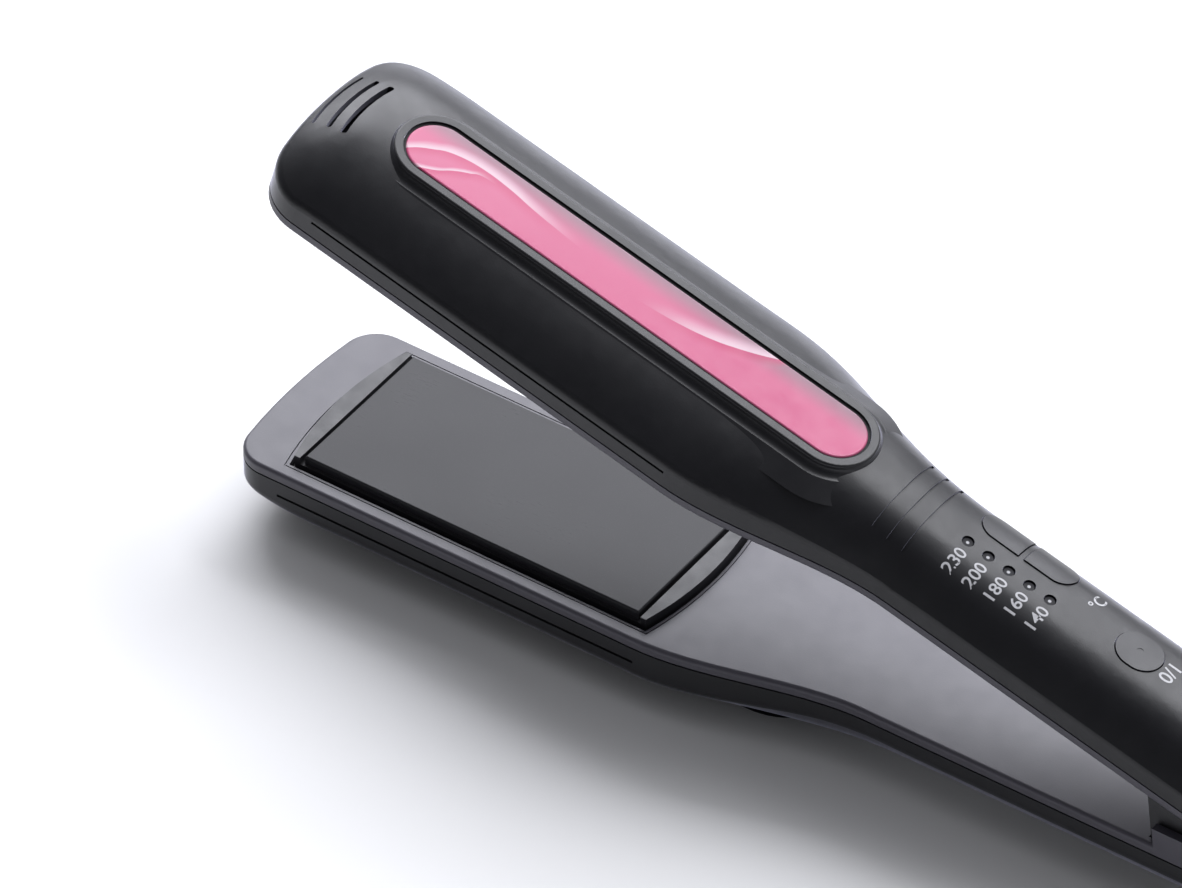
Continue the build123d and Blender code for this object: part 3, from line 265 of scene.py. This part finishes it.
def rubbery(name, dark, light, grain=1.6, sheen=0.0):
    m = Mat(name)
    grain_noise = m.noise(grain, 4.0, 0.7)
    m.bump(grain_noise, 0.03)
    colour = m.mix(m.noise(0.2, 3.0), dark, light)
    return m.set(color=colour, rough=m.span(grain_noise, 0.3, 0.7, 0.6, 0.82), sheen=sheen, spec=0.35)


def sleeve(name):
    """Braided sleeve: two crossing thread waves round the wire."""
    m = Mat(name)
    x, y, z = m.axes()
    one = m.math("SINE", m.math("MULTIPLY", m.math("ADD", x, m.math("MULTIPLY", y, 1.5)), 9.0))
    two = m.math("SINE", m.math("MULTIPLY", m.math("SUBTRACT", x, m.math("MULTIPLY", y, 1.5)), 9.0))
    weave = m.math("ADD", m.math("MULTIPLY", m.math("MULTIPLY", one, two), 0.5), 0.5)
    m.bump(weave, 0.05)
    colour = m.mix(weave, (0.44, 0.42, 0.38), (0.72, 0.70, 0.65))
    return m.set(color=colour, rough=m.span(weave, 0, 1, 0.75, 0.9), sheen=0.2)


def ceramic(name):
    m = Mat(name)
    grain = m.noise(1.8, 5.0, 0.7)
    m.bump(grain, 0.02)
    colour = m.mix(grain, (0.66, 0.64, 0.60), (0.80, 0.78, 0.74))
    return m.set(color=colour, rough=m.span(grain, 0.3, 0.7, 0.45, 0.65))


def board(name):
    m = Mat(name, "upper")
    x, y, z = m.axes()
    lane_x = m.math("ABSOLUTE", m.math("SINE", m.math("MULTIPLY", x, 1.1)))
    lane_y = m.math("ABSOLUTE", m.math("SINE", m.math("MULTIPLY", y, 1.6)))
    where = m.noise(0.18, 1.0)
    track = m.math("LESS_THAN", m.mix(m.math("GREATER_THAN", where, 0.5), (0, 0, 0), (1, 1, 1)), 0.5)
    lanes = m.math("LESS_THAN", m.math("MINIMUM", lane_x, m.math("ADD", lane_y, track)), 0.16)
    m.bump(lanes, 0.02)
    colour = m.mix(m.math("MULTIPLY", lanes, 0.6), (0.010, 0.085, 0.030), (0.03, 0.20, 0.07))
    return m.set(color=colour, rough=m.span(m.noise(2.0), 0.3, 0.7, 0.24, 0.36), coat=0.3, coat_rough=0.15)


def smoked(name):
    """Smoked lenses at the light pitch, with a small pale dot where the light shows through."""
    m = Mat(name, "upper")
    x, y, z = m.axes()
    half_pitch = LIGHT_PITCH / 2
    off_x = m.math("WRAP", m.math("SUBTRACT", x, FIRST_LIGHT_X), half_pitch, -half_pitch)
    off_y = m.math("SUBTRACT", y, LIGHT_Y)
    off = m.math("ADD", m.math("MULTIPLY", off_x, off_x), m.math("MULTIPLY", off_y, off_y))
    m.bump(m.noise(0.8, 2.0), 0.01)
    tint = m.mix(m.noise(0.5), (0.014, 0.014, 0.017), (0.022, 0.022, 0.026))
    colour = m.mix(m.span(off, 0.22, 0.12), tint, (0.45, 0.45, 0.47))
    return m.set(color=colour, rough=m.span(m.noise(1.0), 0.3, 0.7, 0.42, 0.52), spec=0.12)


def ink(name):
    """Pad-printed white ink, a little thin and uneven."""
    m = Mat(name, "upper")
    wear = m.noise(4.0, 3.0, 0.7)
    m.bump(wear, 0.008)
    colour = m.mix(m.span(wear, 0.35, 0.5), (0.34, 0.34, 0.36), (0.48, 0.48, 0.50))
    return m.set(color=colour, rough=m.span(wear, 0.3, 0.7, 0.45, 0.6))


BLACK, CHARCOAL = (0.0045, 0.0045, 0.0060), (0.0075, 0.0075, 0.0100)
looks = {
    "outer": moulded("shell_black", BLACK, CHARCOAL, (0.31, 0.38), spec=0.42, sheen=0.95),
    "inner": moulded("inner_black", (0.050, 0.047, 0.062), (0.062, 0.058, 0.076),
                     (0.42, 0.46), 2.6, 0.012, 0.6),
    "carrier": moulded("carrier_black", (0.014, 0.014, 0.017), (0.022, 0.022, 0.026), (0.38, 0.5), 2.0, 0.02),
    "button": moulded("button_black", (0.008, 0.008, 0.011), (0.013, 0.013, 0.017), (0.36, 0.42), 4.0, 0.01),
    "bracket": moulded("bracket_black", (0.013, 0.013, 0.015), (0.022, 0.022, 0.025),
                       (0.42, 0.55), 1.6, 0.03),
    "switch": moulded("switch_body", (0.03, 0.03, 0.033), (0.045, 0.045, 0.05), (0.45, 0.6), 2.0, 0.02),
    "nylon": moulded("bush_nylon", (0.62, 0.60, 0.54), (0.72, 0.70, 0.65), (0.4, 0.5), 1.8, 0.02),
    "terminal": moulded("terminal_white", (0.60, 0.60, 0.58), (0.70, 0.70, 0.68), (0.4, 0.55), 1.8, 0.02),
    "inlay_upper": inlay("upper"),
    "inlay_lower": inlay("lower"),
    "seal": rubbery("seal_black", (0.004, 0.004, 0.005), (0.008, 0.008, 0.009), 2.0),
    "plate": plate(),
    "ceramic": ceramic("element_ceramic"),
    "spring": metal("spring_steel", (0.50, 0.50, 0.52), 0.28),
    "zinc": metal("zinc_steel", (0.58, 0.59, 0.62), 0.32, (5.0, 5.0, 5.0)),
    "silicone": rubbery("silicone_red", (0.32, 0.055, 0.035), (0.42, 0.08, 0.05), 1.2, 0.1),
    "sleeve": sleeve("wire_sleeve"),
    "board": board("board_green"),
    "component": moulded("component_body", (0.50, 0.26, 0.04), (0.62, 0.34, 0.06), (0.25, 0.4), 2.0, 0.02),
    "led": moulded("led_body", (0.60, 0.58, 0.48), (0.72, 0.70, 0.62), (0.25, 0.35), 3.0, 0.01),
    "clear": smoked("clear_plastic"),
    "gland": rubbery("gland_rubber", (0.010, 0.010, 0.012), (0.018, 0.018, 0.021), 1.4, 0.15),
    "ink": ink("print_white"),
}

look_of = {
    "outer_shell": "outer", "inner_shell": "inner", "inlay_seal": "seal", "plate_carrier": "carrier",
    "heater_plate": "plate", "heating_element": "ceramic", "element_clamp": "spring",
    "float_cushions": "silicone",
    "heater_leads": "sleeve", "shell_screws": "zinc",
}
plain_looks = {
    "upper_inlay_panel": "inlay_upper", "lower_inlay_panel": "inlay_lower", "temperature_sensor": "component",
    "thermal_fuse": "zinc", "control_board": "board", "board_components": "component", "board_screws": "zinc",
    "tact_switches": "switch", "indicator_leds": "led", "light_guide": "clear",
    "temperature_up_button": "button",
    "temperature_down_button": "button", "power_button": "button", "power_lens": "button",
    "hinge_knuckle": "bracket",
    "hinge_bushes": "nylon", "knuckle_screws": "zinc", "hinge_bracket": "bracket", "bracket_screws": "zinc",
    "hinge_pin": "zinc", "torsion_spring": "spring", "terminal_block": "terminal", "supply_leads": "sleeve",
    "swivel_gland": "gland", "swivel_clip": "zinc",
}
for name, obj in nodes.items():
    arm_piece = name.split("_", 1)[1] if name.split("_")[0] in ("upper", "lower") else name
    look = plain_looks.get(name) or look_of[arm_piece]
    obj.data.materials.clear()
    obj.data.materials.append(looks[look])


# ---------------------------------------------------------------- printed marks
def surface(name):
    """A ray caster for a CAD node, in row-frame metres."""
    mesh = nodes[name].data
    return BVHTree.FromPolygons([v.co for v in mesh.vertices], [tuple(p.vertices) for p in mesh.polygons])


DOWN = (arm_point(0, 0, -1) - arm_point(0, 0, 0)).normalized()
shell_skin = surface("upper_outer_shell")


def printed(name, text, x, y, size):
    """White print on the upper handle. It reads towards +Y, with the tops of the letters towards the tip."""
    curve = bpy.data.curves.new(name, "FONT")
    curve.body = text
    curve.size = size
    curve.align_x = "CENTER"
    curve.align_y = "CENTER"
    curve.offset = PRINT_BOLD
    curve.resolution_u = 6
    flat = bpy.data.objects.new(name + "_flat", curve)
    mesh = bpy.data.meshes.new_from_object(flat)
    for v in mesh.vertices:
        start = arm_point(x - v.co.y, y + v.co.x, ABOVE_SHELL)
        hit = shell_skin.ray_cast(start, DOWN)[0]
        v.co = hit - DOWN * PRINT_LIFT * MM
    bpy.data.objects.remove(flat)
    mesh.name = name
    obj = bpy.data.objects.new(name, mesh)
    bpy.context.scene.collection.objects.link(obj)
    obj.data.materials.clear()
    obj.data.materials.append(looks["ink"])
    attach(obj, "upper_arm")


for step, number in enumerate(("230", "200", "180", "160", "140")):
    printed("print_" + number, number, FIRST_NUMBER_X + LIGHT_PITCH * step, NUMBER_Y, 4.4)
printed("print_on_off", "0/1", -43.9, 1.7, 5.0)
printed("print_degrees", "°C", -67.6, 6.6, 4.4)

# ---------------------------------------------------------------- stage, light and camera
floor_mesh = bpy.data.meshes.new("floor")
half = 3.0
corners = [(-half, -half, 0), (half, -half, 0), (half, half, 0), (-half, half, 0)]
floor_mesh.from_pydata(corners, [], [(0, 1, 2, 3)])
floor = bpy.data.objects.new("floor", floor_mesh)
bpy.context.scene.collection.objects.link(floor)
paper = Mat("floor_paper")
paper.bump(paper.noise(0.3, 3.0), 0.02)
paper.set(color=paper.mix(paper.noise(0.004, 2.0), (0.84, 0.84, 0.84), (0.88, 0.88, 0.88)), rough=0.9)
floor.data.materials.append(paper.m)


AIM = (0.0, 0.0, 0.05)


def softbox(name, place, size, power, colour):
    light = bpy.data.lights.new(name, "AREA")
    light.shape = "RECTANGLE"
    light.size, light.size_y = size
    light.energy = power
    light.color = colour
    obj = bpy.data.objects.new(name, light)
    bpy.context.scene.collection.objects.link(obj)
    obj.location = place
    obj.rotation_mode = "QUATERNION"
    obj.rotation_quaternion = (Vector(AIM) - Vector(place)).to_track_quat("-Z", "Y")


softbox("back_light", (-0.75, 1.2, 1.15), (1.7, 1.1), 40.0, (0.93, 0.94, 1.0))
softbox("top_light", (0.5, 0.9, 1.7), (1.2, 0.8), 22.0, (0.95, 0.96, 1.0))

world = bpy.data.worlds.new("studio")
world.use_nodes = True
tree = world.node_tree
where = tree.nodes.new("ShaderNodeTexCoord")
parts = tree.nodes.new("ShaderNodeSeparateXYZ")
tree.links.new(where.outputs["Generated"], parts.inputs[0])
sky = tree.nodes.new("ShaderNodeMapRange")
sky.inputs["From Min"].default_value = -0.5
sky.inputs["From Max"].default_value = 0.5
sky.inputs["To Min"].default_value = 0.16
sky.inputs["To Max"].default_value = 0.85
tree.links.new(parts.outputs["Y"], sky.inputs["Value"])
tree.links.new(sky.outputs["Result"], tree.nodes["Background"].inputs["Strength"])
tree.nodes["Background"].inputs["Color"].default_value = (0.94, 0.95, 1.0, 1.0)
bpy.context.scene.world = world
bpy.context.scene.view_settings.view_transform = "Standard"

# The camera: direction from the object, then the frame's right and up.
back = Vector((0.43027828, -0.61359421, 0.66208969)).normalized()
right = Vector((math.cos(math.radians(35.04)), math.sin(math.radians(35.04)), 0.0))
up = back.cross(right)
roll = math.radians(-0.18)
side = right * math.cos(roll) + up * math.sin(roll)
top = up * math.cos(roll) - right * math.sin(roll)
lens = bpy.data.cameras.new("camera")
lens.sensor_width = 36.0
lens.lens = 334.5
lens.clip_start, lens.clip_end = 0.1, 20.0
camera = bpy.data.objects.new("camera", lens)
bpy.context.scene.collection.objects.link(camera)
camera.matrix_world = Matrix((
    (side.x, top.x, back.x, 1.037053),
    (side.y, top.y, back.y, -1.574332),
    (side.z, top.z, back.z, 1.744681),
    (0.0, 0.0, 0.0, 1.0),
))
bpy.context.scene.camera = camera
